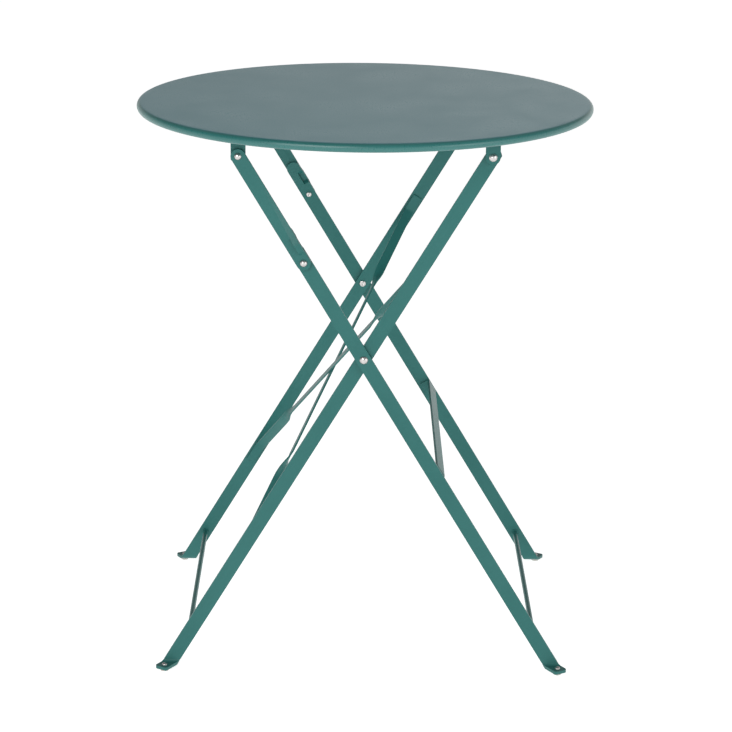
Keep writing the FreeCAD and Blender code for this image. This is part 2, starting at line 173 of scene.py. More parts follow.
def lathe(name: str, profile: Sequence[tuple[float, float]], sides: int,
          capped: bool = True) -> bpy.types.Object:
    """Draw a round shape up from a circle, ring after ring.

    Args:
        name: Name of the new object.
        profile: Radius and height of each ring, in metres, from the first to the last.
        sides: Number of sides of each ring.
        capped: Whether the first and the last ring are closed by a face. A ring-shaped
            piece is left open, and its profile ends where it started.

    Returns:
        The new object, on the Z axis.
    """
    deselect_all()
    radius, height = profile[0]
    bpy.ops.mesh.primitive_circle_add(vertices=sides, radius=radius, location=(0.0, 0.0, height))
    piece = bpy.context.object
    piece.name = name
    settle(piece)
    bpy.ops.object.mode_set(mode="EDIT")
    bpy.ops.mesh.select_all(action="SELECT")
    if capped:
        bpy.ops.mesh.edge_face_add()
    bpy.ops.mesh.select_mode(type="EDGE")
    for next_radius, next_height in profile[1:]:
        bpy.ops.mesh.extrude_edges_move(TRANSFORM_OT_translate={"value": (0.0, 0.0, next_height - height)})
        grow = next_radius / radius
        bpy.ops.transform.resize(value=(grow, grow, 1.0), center_override=(0.0, 0.0, next_height))
        radius, height = next_radius, next_height
    if capped:
        bpy.ops.mesh.edge_face_add()
    leave_edit()
    tidy_normals(piece)
    return piece


def lay_along_y(piece: bpy.types.Object, place: Point, sign: int) -> None:
    """Lay a piece drawn on the Z axis along Y, and move it to its place.

    Args:
        piece: The object.
        place: Where its origin goes.
        sign: Which way along Y its upper end points.
    """
    piece.rotation_euler = (-sign * math.pi / 2, 0.0, 0.0)
    piece.location = place
    settle(piece)


def join(pieces: Sequence[bpy.types.Object]) -> bpy.types.Object:
    """Make several pieces one object that keeps the first one's name.

    Args:
        pieces: The objects.

    Returns:
        The joined object.
    """
    select_only(pieces[0])
    for piece in pieces[1:]:
        piece.select_set(True)
    if len(pieces) > 1:
        bpy.ops.object.join()
    return pieces[0]


def select_where(piece: bpy.types.Object, wanted: Callable[[Vector], bool]) -> None:
    """Open a piece in edit mode with the vertices that meet a condition selected.

    Args:
        piece: The object.
        wanted: Tells from a vertex's place whether it is selected.
    """
    edit(piece)
    bpy.ops.mesh.select_mode(type="VERT")
    leave_edit()
    for vertex in piece.data.vertices:
        vertex.select = wanted(vertex.co)
    bpy.ops.object.mode_set(mode="EDIT")


def roughen(piece: bpy.types.Object, wanted: Callable[[Vector], bool], amount: float, seed: int) -> None:
    """Push part of a piece's surface in and out a little, as molten metal sets.

    Args:
        piece: The object.
        wanted: Tells from a vertex's place whether it moves.
        amount: Largest movement.
        seed: Seed of the random movement.
    """
    select_where(piece, wanted)
    bpy.ops.transform.vertex_random(offset=amount, uniform=0.3, normal=0.7, seed=seed)
    bpy.ops.mesh.vertices_smooth(factor=0.35, repeat=1)
    leave_edit()


def dome_rings(radius: float, base: float, rise: float, steps: int = 7) -> list[tuple[float, float]]:
    """Rings of a domed head with a softened rim.

    Args:
        radius: Radius of the head.
        base: Height of its flat underside.
        rise: Height of the dome.
        steps: Number of rings over the dome.

    Returns:
        Radius and height of each ring, from the rim up.
    """
    rim = 0.12 * rise
    sphere = (radius ** 2 + (rise - rim) ** 2) / (2 * (rise - rim))
    half = math.asin(min(1.0, radius / sphere))
    rings = [(0.97 * radius, base), (radius, base + 0.5 * rim)]
    for step in range(steps):
        angle = half * (1.0 - step / (steps - 0.5))
        rings.append((sphere * math.sin(angle), base + rise - sphere * (1.0 - math.cos(angle))))
    return rings


@dataclass(frozen=True)
class Span:
    """Where the rear one of a node's two mirrored solids lies along Y, and its axis."""

    x: float
    z: float
    near: float
    far: float


def corners_of(node: str) -> list[Vector]:
    """The vertices of a CAD node."""
    return [vertex.co for vertex in frame["nodes"][node].data.vertices]


def middle(values: Iterable[float]) -> float:
    """Half-way between the smallest and the largest value."""
    values = list(values)
    return (min(values) + max(values)) / 2


def span_of(node: str) -> Span:
    """Measure a node whose pieces stand on an axis along Y.

    Args:
        node: The CAD node.

    Returns:
        Its axis and the depths between which it lies on the rear side.
    """
    corners = corners_of(node)
    depths = [abs(corner.y) for corner in corners]
    return Span(middle(corner.x for corner in corners), middle(corner.z for corner in corners),
                min(depths), max(depths))


# ---- shader node groups -------------------------------------------------------------
class Group:
    """A shader node group that is built once and used by several finishes."""

    def __init__(self, name: str, inputs: dict[str, float], outputs: Iterable[str]) -> None:
        """Start a group.

        Args:
            name: Name of the group.
            inputs: Named value inputs with their defaults.
            outputs: Names of the value outputs.
        """
        self.tree = bpy.data.node_groups.new(name, "ShaderNodeTree")
        for label, default in inputs.items():
            socket = self.tree.interface.new_socket(label, in_out="INPUT", socket_type="NodeSocketFloat")
            socket.default_value = default
        for label in outputs:
            self.tree.interface.new_socket(label, in_out="OUTPUT", socket_type="NodeSocketFloat")
        self.entry = self.tree.nodes.new("NodeGroupInput")
        self.exit = self.tree.nodes.new("NodeGroupOutput")

    def add(self, kind: str, links: dict | None = None, **settings: object) -> bpy.types.Node:
        """Add a node, set its attributes and feed its inputs.

        Args:
            kind: Blender's node type.
            links: Input name or number to a socket, or to a plain value.
            **settings: Attributes of the node.

        Returns:
            The new node.
        """
        return add_node(self.tree, kind, links, **settings)

    def put(self, label: str, socket: bpy.types.NodeSocket) -> None:
        """Send a socket to one of the group's outputs."""
        self.tree.links.new(socket, self.exit.inputs[label])


def add_node(tree: bpy.types.NodeTree, kind: str, links: dict | None = None,
             **settings: object) -> bpy.types.Node:
    """Add a node to a tree, set its attributes and feed its inputs.

    Args:
        tree: The node tree.
        kind: Blender's node type.
        links: Input name or number to a socket, or to a plain value.
        **settings: Attributes of the node.

    Returns:
        The new node.
    """
    node = tree.nodes.new(kind)
    for name, value in settings.items():
        setattr(node, name, value)
    for key, value in (links or {}).items():
        socket = node.inputs[key]
        if isinstance(value, bpy.types.NodeSocket):
            tree.links.new(value, socket)
        else:
            socket.default_value = value
    return node


def coat_grain_group() -> Group:
    """Fine orange peel and slow drifts of a sprayed and baked coat.

    Returns:
        A group whose Height and Drift change over the surface.
    """
    group = Group("coat_grain", {"Grain per metre": 1400.0, "Drift per metre": 9.0},
                  ("Height", "Drift", "Speck"))
    place = group.add("ShaderNodeTexCoord").outputs["Object"]
    fineness = group.entry.outputs["Grain per metre"]
    peel = group.add("ShaderNodeTexNoise", {"Vector": place, "Scale": fineness,
                                            "Detail": 3.0, "Roughness": 0.55})
    cells = group.add("ShaderNodeTexVoronoi", {"Vector": place, "Scale": fineness}, feature="SMOOTH_F1")
    blend = group.add("ShaderNodeMix", {0: 0.35, 2: peel.outputs[0], 3: cells.outputs["Distance"]})
    drift = group.add("ShaderNodeTexNoise", {"Vector": place, "Scale": group.entry.outputs["Drift per metre"],
                                             "Detail": 4.0, "Roughness": 0.6, "Distortion": 0.4})
    speck = group.add("ShaderNodeTexNoise", {"Vector": place, "Scale": 620.0, "Detail": 1.0})
    group.put("Height", blend.outputs[0])
    group.put("Drift", drift.outputs[0])
    group.put("Speck", speck.outputs[0])
    return group


def painted_edge_highlight_group() -> Group:
    """Painted highlight along convex edges, broken up by noise.

    Returns:
        A group whose Mask is 1 on edges that get the painted highlight.
    """
    group = Group("painted_edge_highlight", {"Reach": 0.8 * MM, "Patches per metre": 55.0}, ("Mask",))
    place = group.add("ShaderNodeTexCoord").outputs["Object"]
    rounded = group.add("ShaderNodeBevel", {"Radius": group.entry.outputs["Reach"]}, samples=4)
    facing = group.add("ShaderNodeNewGeometry").outputs["Normal"]
    along = group.add("ShaderNodeVectorMath", {0: rounded.outputs[0], 1: facing}, operation="DOT_PRODUCT")
    turned = group.add("ShaderNodeMath", {0: 1.0, 1: along.outputs["Value"]}, operation="SUBTRACT")
    patchy = group.add("ShaderNodeTexNoise", {"Vector": place,
                                              "Scale": group.entry.outputs["Patches per metre"],
                                              "Detail": 5.0, "Roughness": 0.7})
    patches = group.add("ShaderNodeMapRange", {"Value": patchy.outputs[0], "From Min": 0.35, "From Max": 0.65,
                                               "To Min": 0.25, "To Max": 1.5})
    broken = group.add("ShaderNodeMath", {0: turned.outputs[0], 1: patches.outputs[0]}, operation="MULTIPLY")
    mask = group.add("ShaderNodeMapRange", {"Value": broken.outputs[0], "From Min": 0.02, "From Max": 0.22},
                     interpolation_type="SMOOTHSTEP")
    group.put("Mask", mask.outputs[0])
    return group


def dust_group() -> Group:
    """Fine dust that settles on faces that look up.

    Returns:
        A group whose Mask is largest on level, open faces.
    """
    group = Group("settled_dust", {"Amount": 0.1, "Patches per metre": 16.0}, ("Mask",))
    coordinates = group.add("ShaderNodeTexCoord")
    normal = group.add("ShaderNodeSeparateXYZ", {0: coordinates.outputs["Normal"]})
    level = group.add("ShaderNodeMapRange", {"Value": normal.outputs[2], "From Min": 0.5, "From Max": 1.0},
                      interpolation_type="SMOOTHSTEP")
    patches = group.add("ShaderNodeTexNoise", {"Vector": coordinates.outputs["Object"],
                                               "Scale": group.entry.outputs["Patches per metre"],
                                               "Detail": 8.0, "Roughness": 0.62})
    cover = group.add("ShaderNodeMapRange", {"Value": patches.outputs[0], "From Min": 0.35, "From Max": 0.75})
    both = group.add("ShaderNodeMath", {0: level.outputs[0], 1: cover.outputs[0]}, operation="MULTIPLY")
    amount = group.entry.outputs["Amount"]
    mask = group.add("ShaderNodeMath", {0: both.outputs[0], 1: amount}, operation="MULTIPLY")
    group.put("Mask", mask.outputs[0])
    return group


@dataclass
class Effects:
    """The node groups that the finishes share."""

    grain: Group = field(default_factory=coat_grain_group)
    edge_light: Group = field(default_factory=painted_edge_highlight_group)
    dust: Group = field(default_factory=dust_group)


# ---- finishes -----------------------------------------------------------------------
class Recipe:
    """A material under construction: its tree, its Principled shader and its output."""

    def __init__(self, name: str) -> None:
        """Start an empty material with one Principled shader.

        Args:
            name: Name of the material.
        """
        self.material = bpy.data.materials.new(name)
        self.material.use_nodes = True
        self.tree = self.material.node_tree
        self.shader = self.tree.nodes["Principled BSDF"]

    def add(self, kind: str, links: dict | None = None, **settings: object) -> bpy.types.Node:
        """Add a node; see add_node."""
        return add_node(self.tree, kind, links, **settings)

    def use(self, group: Group, **values: float) -> bpy.types.Node:
        """Place a shared group with its own values.

        Args:
            group: The node group.
            **values: Input values, with underscores for spaces in the names.

        Returns:
            The group node.
        """
        node = self.tree.nodes.new("ShaderNodeGroup")
        node.node_tree = group.tree
        for name, value in values.items():
            node.inputs[name.replace("_", " ")].default_value = value
        return node

    def mix_colours(self, share: object, first: object, second: object) -> bpy.types.NodeSocket:
        """Blend two colours by a share.

        Args:
            share: Socket or value, 0 for the first colour and 1 for the second.
            first: Socket or RGBA value.
            second: Socket or RGBA value.

        Returns:
            The blended colour's socket.
        """
        node = self.add("ShaderNodeMix", {0: share, 6: first, 7: second}, data_type="RGBA")
        return node.outputs[2]

    def ramp(self, value: bpy.types.NodeSocket, low: float, high: float, to_low: float,
             to_high: float) -> bpy.types.NodeSocket:
        """Map a value from one range to another, clamped.

        Args:
            value: Socket to map.
            low: Value that gives to_low.
            high: Value that gives to_high.
            to_low: Result at or below low.
            to_high: Result at or above high.

        Returns:
            The mapped value.
        """
        node = self.add("ShaderNodeMapRange", {"Value": value, "From Min": low, "From Max": high,
                                               "To Min": to_low, "To Max": to_high})
        return node.outputs[0]

    def feed(self, socket: str, value: object) -> None:
        """Set or link one of the Principled shader's inputs.

        Args:
            socket: Name of the input.
            value: A socket to link or a value to set.
        """
        if isinstance(value, bpy.types.NodeSocket):
            self.tree.links.new(value, self.shader.inputs[socket])
        else:
            self.shader.inputs[socket].default_value = value

    def bump(self, height: bpy.types.NodeSocket, strength: float, distance: float) -> None:
        """Send a height to the shader's normal."""
        node = self.add("ShaderNodeBump", {"Strength": strength, "Distance": distance, "Height": height})
        self.feed("Normal", node.outputs[0])


def opaque(colour: Colour) -> tuple[float, float, float, float]:
    """A colour with full alpha."""
    return (*colour, 1.0)


@dataclass(frozen=True)
class PowderCoat:
    """Satin powder coat over steel, with a painted cool reflection on faces that look straight up."""

    name: str
    colour: Colour = (0.016, 0.122, 0.112)
    pale: Colour = (0.023, 0.140, 0.129)
    # Lighter colour of the painted edge highlight.
    edge_light_colour: Colour = (0.07, 0.22, 0.20)
    shine: float = 0.32
    # Colour of a painted reflection of the bright sky on faces that look straight up; None for none.
    painted_sky_reflection: Colour | None = None
    roughness: float = 0.40
    grain_per_metre: float = 1500.0
    grain_depth: float = 0.05
    grain_height: float = 0.3 * MM
    # Reach and share of the painted edge highlight.
    edge_light_reach: float = 0.8 * MM
    edge_light_share: float = 0.35
    dust: float = 0.05
    dust_colour: Colour = (0.42, 0.44, 0.43)

    def build(self, effects: Effects) -> bpy.types.Material:
        """Make the material.

        Args:
            effects: The shared node groups.

        Returns:
            The finished material.
        """
        recipe = Recipe(self.name)
        grain = recipe.use(effects.grain, Grain_per_metre=self.grain_per_metre)
        edge_light = recipe.use(effects.edge_light, Reach=self.edge_light_reach)
        dust = recipe.use(effects.dust, Amount=self.dust)
        drift = recipe.ramp(grain.outputs["Drift"], 0.3, 0.7, 0.0, 1.0)
        colour = recipe.mix_colours(drift, opaque(self.colour), opaque(self.pale))
        # Painted reflection: faces that look straight up are mixed towards a lighter, bluer colour.
        if self.painted_sky_reflection is not None:
            place = recipe.add("ShaderNodeTexCoord").outputs["Normal"]
            level = recipe.add("ShaderNodeSeparateXYZ", {0: place}).outputs[2]
            colour = recipe.mix_colours(recipe.ramp(level, 0.90, 1.0, 0.0, 1.0), colour, opaque(self.painted_sky_reflection))
        # Painted highlight: convex edges are mixed towards a lighter colour.
        edge_lit = recipe.ramp(edge_light.outputs["Mask"], 0.0, 1.0, 0.0, self.edge_light_share)
        colour = recipe.mix_colours(edge_lit, colour, opaque(self.edge_light_colour))
        colour = recipe.mix_colours(dust.outputs["Mask"], colour, opaque(self.dust_colour))
        recipe.feed("Base Color", colour)
        matt = recipe.ramp(grain.outputs["Speck"], 0.3, 0.7, self.roughness - 0.04, self.roughness + 0.05)
        dusty = recipe.add("ShaderNodeMath", {0: matt, 1: dust.outputs["Mask"]}, operation="ADD")
        recipe.feed("Roughness", dusty.outputs[0])
        recipe.feed("Specular IOR Level", self.shine)
        recipe.bump(grain.outputs["Height"], self.grain_depth, self.grain_height)
        return recipe.material


@dataclass(frozen=True)
class BrightSteel:
    """Polished, zinc-plated steel of the rivets."""

    name: str
    colour: Colour = (0.60, 0.58, 0.57)
    dull: Colour = (0.36, 0.35, 0.34)
    roughness: float = 0.20

    def build(self, effects: Effects) -> bpy.types.Material:
        """Make the material.

        Args:
            effects: The shared node groups.

        Returns:
            The finished material.
        """
        recipe = Recipe(self.name)
        grain = recipe.use(effects.grain, Grain_per_metre=2600.0, Drift_per_metre=420.0)
        blotch = recipe.ramp(grain.outputs["Drift"], 0.45, 0.8, 0.0, 0.7)
        recipe.feed("Base Color", recipe.mix_colours(blotch, opaque(self.colour), opaque(self.dull)))
        recipe.feed("Metallic", 1.0)
        dulled = self.roughness + 0.2
        recipe.feed("Roughness", recipe.ramp(grain.outputs["Drift"], 0.3, 0.8, self.roughness, dulled))
        recipe.bump(grain.outputs["Height"], 0.05, 0.1 * MM)
        return recipe.material


@dataclass(frozen=True)
class MouldedPlastic:
    """Plain moulded plastic of the washers and the foot pads."""

    name: str
    colour: Colour
    shade: Colour
    roughness: float = 0.45
    glow_through: float = 0.0

    def build(self, effects: Effects) -> bpy.types.Material:
        """Make the material.

        Args:
            effects: The shared node groups.

        Returns:
            The finished material.
        """
        recipe = Recipe(self.name)
        grain = recipe.use(effects.grain, Grain_per_metre=1900.0, Drift_per_metre=160.0)
        drift = recipe.ramp(grain.outputs["Drift"], 0.3, 0.7, 0.0, 1.0)
        recipe.feed("Base Color", recipe.mix_colours(drift, opaque(self.colour), opaque(self.shade)))
        recipe.feed("Roughness", recipe.ramp(grain.outputs["Speck"], 0.3, 0.7, self.roughness - 0.05,
                                             self.roughness + 0.08))
        recipe.feed("Subsurface Weight", self.glow_through)
        recipe.feed("Subsurface Scale", 2.0 * MM)
        recipe.bump(grain.outputs["Height"], 0.08, 0.1 * MM)
        return recipe.material


@dataclass
class Paintshop:
    """Every finish, built once."""

    effects: Effects = field(default_factory=Effects)
    made: dict[str, bpy.types.Material] = field(default_factory=dict)

    def __post_init__(self) -> None:
        """Build the finishes."""
        finishes = {
            # The top has the bars' own coat, given lighter base colours all over: painted light standing in
            # for the bright reflection on its upper face.
            "top": PowderCoat("coat_top", (0.016, 0.134, 0.125), (0.022, 0.150, 0.140),
                              painted_sky_reflection=(0.050, 0.240, 0.280), shine=0.62, roughness=0.30, grain_depth=0.02),
            "bars": PowderCoat("coat_bars"),
            "rods": PowderCoat("coat_rods", roughness=0.34),
            Slot.RIVET.value: BrightSteel("bright_rivet_steel"),
            Slot.WASHER.value: MouldedPlastic("black_nylon", (0.030, 0.033, 0.034), (0.045, 0.048, 0.048)),
            Slot.PAD.value: MouldedPlastic("milky_pad", (0.56, 0.56, 0.53), (0.46, 0.46, 0.43), 0.38, 0.1),
        }
        for key, finish in finishes.items():
            self.made[key] = finish.build(self.effects)

    def dress(self, piece: bpy.types.Object, key: str) -> None:
        """Give a whole piece one finish.

        Args:
            piece: The object.
            key: Name of the finish.
        """
        piece.data.materials.clear()
        piece.data.materials.append(self.made[key])
        for polygon in piece.data.polygons:
            polygon.material_index = 0


# ---- sub-assemblies -----------------------------------------------------------------
def body_of(node: str) -> str:
    """The CAD body that a node belongs to."""
    return frame["nodes"][node]["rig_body"]


@dataclass
class FlatBars:
    """Legs, links, rails, stretcher and braces: sheared flat bar with softened edges."""

    shop: Paintshop
    nodes: tuple[str, ...]
    edge_radius: float = 0.45 * MM
    edge_steps: int = 2

    def build(self) -> list[bpy.types.Object]:
        """Make each bar from its CAD shape, with rounded edges, and hide the CAD node.

        Returns:
            The finished bars.
        """
        return [self.bar(node) for node in self.nodes]

    def bar(self, node: str) -> bpy.types.Object:
        """One softened bar.

        Args:
            node: The CAD node that it stands for.

        Returns:
            The finished bar.
        """
        piece = bpy.data.objects.new(f"{node}.coated", frame["nodes"][node].data.copy())
        bpy.context.scene.collection.objects.link(piece)
        edit(piece)
        bpy.ops.mesh.select_all(action="SELECT")
        bpy.ops.mesh.remove_doubles(threshold=0.001 * MM)
        bpy.ops.mesh.dissolve_limited(angle_limit=math.radians(0.5))
        leave_edit()
        smooth_by_angle(piece, 30.0)
        apply_modifier(piece, "BEVEL", width=self.edge_radius, segments=self.edge_steps,
                       limit_method="ANGLE", angle_limit=math.radians(40.0), harden_normals=True)
        self.shop.dress(piece, "bars")
        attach(piece, body_of(node))
        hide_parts(node)
        return piece


def place_piece(shop: "Paintshop", piece: bpy.types.Object, node: str, finish: str) -> None:
    """Shade, paint and attach a modelled piece that stands for a CAD node.

    Args:
        shop: The finishes.
        piece: The modelled object.
        node: The CAD node that it replaces.
        finish: Name of its finish.
    """
    smooth_by_angle(piece, 38.0)
    shop.dress(piece, finish)
    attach(piece, body_of(node))
    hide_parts(node)


@dataclass
class PressedTop:
    """The round top: a pressed sheet whose edge is rolled under and hemmed."""

    shop: Paintshop
    sheet: float = 1.2 * MM
    roll: float = 5.5 * MM
    hem: float = 8.0 * MM
    soft: float = 0.3 * MM
    sides: int = 240

    def build(self) -> bpy.types.Object:
        """Make the top.

        Returns:
            The finished top.
        """
        corners = corners_of("table_top")
        radius, height = max(corner.x for corner in corners), max(corner.z for corner in corners)
        piece = lathe("table_top.pressed", self.profile(radius, height), self.sides)
        place_piece(self.shop, piece, "table_top", "top")
        return piece

    def profile(self, radius: float, height: float) -> list[tuple[float, float]]:
        """Rings from the middle of the upper face round the rim to the middle of the underside.

        Args:
            radius: Radius of the top.
            height: Height of its upper face.

        Returns:
            Radius and height of each ring.
        """
        edge, middle_height = radius - self.roll, height - self.roll
        inner = self.roll - self.sheet
        fields = [0.02, 0.16, 0.36, 0.60, 0.80, 0.93, 0.985]
        rings = [(edge * share, height) for share in fields]
        rings += self.arc(edge, middle_height, self.roll, 16)
        low, high, hem = middle_height - self.roll, middle_height - inner, edge - self.hem
        rings += [(edge - 0.55 * self.hem, low)]
        rings += [(hem + self.soft, low), (hem, low + self.soft),
                  (hem, high - self.soft), (hem + self.soft, high)]
        rings += list(reversed(self.arc(edge, middle_height, inner, 10)))
        rings += [(edge * share, height - self.sheet) for share in reversed(fields)]
        return rings

    @staticmethod
    def arc(edge: float, level: float, radius: float, steps: int) -> list[tuple[float, float]]:
        """Rings of a half round that bulges outwards, from its top to its bottom."""
        turns = [math.pi / 2 - math.pi * step / steps for step in range(steps + 1)]
        return [(edge + radius * math.cos(turn), level + radius * math.sin(turn)) for turn in turns]


@dataclass(frozen=True)
class RivetKind:
    """One node of rivets: radii of head and tail, either of which may be missing."""

    node: str
    head: float | None
    tail: float | None


@dataclass
class Rivets:
    """The turned and peened rivets of the pivots, each node a front and a rear one."""

    shop: Paintshop
    kinds: tuple[RivetKind, ...] = (
        RivetKind("scissor_rivets", 5.1 * MM, 4.0 * MM),
        RivetKind("elbow_rivets", 4.5 * MM, 3.25 * MM),
        RivetKind("link_top_rivets", 4.5 * MM, 3.25 * MM),
        RivetKind("top_pivot_rivets_outer", 5.1 * MM, None),
        RivetKind("top_pivot_rivets_inner", None, 4.0 * MM),
    )
    shank: float = 2.5 * MM
    head_rise: float = 3.0 * MM
    tail_rise: float = 2.2 * MM
    dimple: float = 0.25 * MM
    tail_edge: float = 0.45 * MM
    sides: int = 40

    def build(self) -> list[bpy.types.Object]:
        """Make every pivot rivet.

        Returns:
            One object for each node.
        """
        return [self.pair(kind) for kind in self.kinds]

    def pair(self, kind: RivetKind) -> bpy.types.Object:
        """The front and the rear rivet of a node.

        Args:
            kind: The node and its radii.

        Returns:
            Both rivets as one object.
        """
        span = span_of(kind.node)
        rivets = []
        for side in Side:
            rivet = lathe(f"{kind.node}.{side.value}", self.profile(kind, span), self.sides)
            lay_along_y(rivet, (span.x, 0.0, span.z), side.sign)
            rivets.append(rivet)
        piece = join(rivets)
        piece.name = f"{kind.node}.peened"
        place_piece(self.shop, piece, kind.node, Slot.RIVET.value)
        return piece

    def profile(self, kind: RivetKind, span: Span) -> list[tuple[float, float]]:
        """Rings from the tail, which faces the middle plane, to the head.

        Args:
            kind: The node and its radii.
            span: The axis, and the depths between which a rivet lies.

        Returns:
            Radius and place along Y of each ring.
        """
        rings: list[tuple[float, float]] = []
        if kind.tail is None:
            rings += [(0.4 * self.shank, span.near), (self.shank, span.near)]
        else:
            end = span.near + self.tail_rise
            rings += [(0.30 * kind.tail, span.near + self.dimple), (0.42 * kind.tail, span.near),
                      (0.82 * kind.tail, span.near), (kind.tail, span.near + self.tail_edge),
                      (kind.tail, end), (self.shank, end)]
        if kind.head is None:
            rings += [(self.shank, span.far), (0.4 * self.shank, span.far)]
        else:
            base = span.far - self.head_rise
            rings += [(self.shank, base)] + dome_rings(kind.head, base, self.head_rise)
        return rings


@dataclass
class Washers:
    """Black washers that keep the turning bars apart."""

    shop: Paintshop
    nodes: tuple[str, ...] = ("scissor_washers", "elbow_washers", "link_top_washers", "top_pivot_washers")
    radius: float = 6.0 * MM
    bore: float = 2.58 * MM
    soft: float = 0.15 * MM

    def build(self) -> list[bpy.types.Object]:
        """Make the washers.

        Returns:
            One object for each node.
        """
        return [self.pair(node) for node in self.nodes]

    def pair(self, node: str) -> bpy.types.Object:
        """The front and the rear washer of a node.

        Args:
            node: CAD node of the washers.

        Returns:
            Both washers as one object.
        """
        span, soft = span_of(node), self.soft
        profile = [
            (self.bore, span.near + soft), (self.bore + soft, span.near), (self.radius - soft, span.near),
            (self.radius, span.near + soft), (self.radius, span.far - soft), (self.radius - soft, span.far),
            (self.bore + soft, span.far), (self.bore, span.far - soft), (self.bore, span.near + soft),
        ]
        washers = []
        for side in Side:
            washer = lathe(f"{node}.{side.value}", profile, 48, capped=False)
            lay_along_y(washer, (span.x, 0.0, span.z), side.sign)
            washers.append(washer)
        piece = join(washers)
        piece.name = f"{node}.punched"
        place_piece(self.shop, piece, node, Slot.WASHER.value)
        return piece


@dataclass
class Feet:
    """Moulded pads under the bent feet, and the rivets that hold them."""

    shop: Paintshop
    pad_radius: float = 5.5 * MM
    pad_height: float = 4.0 * MM
    rivet_radius: float = 1.8 * MM
    head_radius: float = 3.5 * MM
    head_rise: float = 2.6 * MM

    def build(self) -> list[bpy.types.Object]:
        """Make the pads and their rivets.

        Returns:
            The four pads and the two pairs of rivets.
        """
        pads = [self.pad(f"{leg}_{side.value}_foot_pad") for leg in ("outer", "inner") for side in Side]
        return pads + [self.rivets(f"{leg}_foot_rivets") for leg in ("outer", "inner")]

    def pad(self, node: str) -> bpy.types.Object:
        """One pad: a tapered disc with a grooved side, a soft floor edge and a dimple below.

        Args:
            node: CAD node of the pad.

        Returns:
            The finished pad.
        """
        corners = corners_of(node)
        x, y = middle(corner.x for corner in corners), middle(corner.y for corner in corners)
        wide, tall = self.pad_radius, self.pad_height
        profile = [
            (0.10 * wide, 0.12 * tall), (0.34 * wide, 0.12 * tall), (0.42 * wide, 0.0),
            (0.86 * wide, 0.0), (0.905 * wide, 0.03 * tall), (0.93 * wide, 0.10 * tall),
            (0.99 * wide, 0.36 * tall), (wide, 0.42 * tall), (wide, 0.62 * tall),
            (0.955 * wide, 0.66 * tall), (0.955 * wide, 0.74 * tall), (wide, 0.78 * tall),
            (wide, 0.93 * tall), (0.97 * wide, 0.98 * tall), (0.94 * wide, tall), (0.3 * wide, tall),
        ]
        pad = lathe(f"{node}.moulded", profile, 48)
        pad.location = (x, y, 0.0)
        settle(pad)
        place_piece(self.shop, pad, node, Slot.PAD.value)
        return pad

    def rivets(self, node: str) -> bpy.types.Object:
        """The two rivets of one leg frame, with domes that stand on the feet.

        Args:
            node: CAD node of the rivets.

        Returns:
            Both rivets as one object.
        """
        corners = corners_of(node)
        x = middle(corner.x for corner in corners)
        y = middle(abs(corner.y) for corner in corners)
        low = min(corner.z for corner in corners)
        base = max(corner.z for corner in corners) - self.head_rise
        profile = [(0.4 * self.rivet_radius, low), (self.rivet_radius, low), (self.rivet_radius, base)]
        profile += dome_rings(self.head_radius, base, self.head_rise, 6)
        rivets = []
        for side in Side:
            rivet = lathe(f"{node}.{side.value}", profile, 36)
            rivet.location = (x, side.sign * y, 0.0)
            settle(rivet)
            rivets.append(rivet)
        piece = join(rivets)
        piece.name = f"{node}.domed"
        place_piece(self.shop, piece, node, Slot.RIVET.value)
        return piece


@dataclass
class Rods:
    """Round rods between the legs near the floor, with a weld at each end."""

    shop: Paintshop
    nodes: tuple[str, ...] = ("outer_lower_rod", "inner_lower_rod")
    radius: float = 3.2 * MM
    weld_radius: float = 4.8 * MM
    weld_length: float = 2.4 * MM
    unevenness: float = 0.22 * MM
    seat: float = 0.05 * MM

    def build(self) -> list[bpy.types.Object]:
        """Make both rods.

        Returns:
            The finished rods.
        """
        return [self.rod(node, seed) for seed, node in enumerate(self.nodes)]

    def rod(self, node: str, seed: int) -> bpy.types.Object:
        """One rod with its two weld fillets.

        Args:
            node: CAD node of the rod.
            seed: Seed of the fillets' unevenness.

        Returns:
            The finished rod.
        """
        span = span_of(node)
        piece = lathe(f"{node}.welded", self.profile(span.far), 36)
        lay_along_y(piece, (span.x, 0.0, span.z), 1)
        inner = span.far - 1.1 * self.weld_length
        outer = span.far - self.seat
        roughen(piece, lambda place: inner < abs(place.y) < outer, self.unevenness, seed)
        place_piece(self.shop, piece, node, "rods")
        return piece

    def profile(self, half: float) -> list[tuple[float, float]]:
        """Rings of the whole rod, from one leg to the other.

        Args:
            half: Half the rod's length.

        Returns:
            Radius and place along Y of each ring.
        """
        bead = [(0.86, 0.0), (0.93, 0.10), (0.95, 0.26), (0.90, 0.44),
                (0.82, 0.62), (0.74, 0.80), (0.68, 1.0)]
        end = [(self.weld_radius * wide, half - self.weld_length * share) for wide, share in bead]
        run = [(self.radius, half * share) for share in (0.975, 0.8, 0.5, 0.2)]
        upper = [(0.3 * self.radius, half)] + end + run
        return [(radius, -height) for radius, height in upper] + list(reversed(upper))


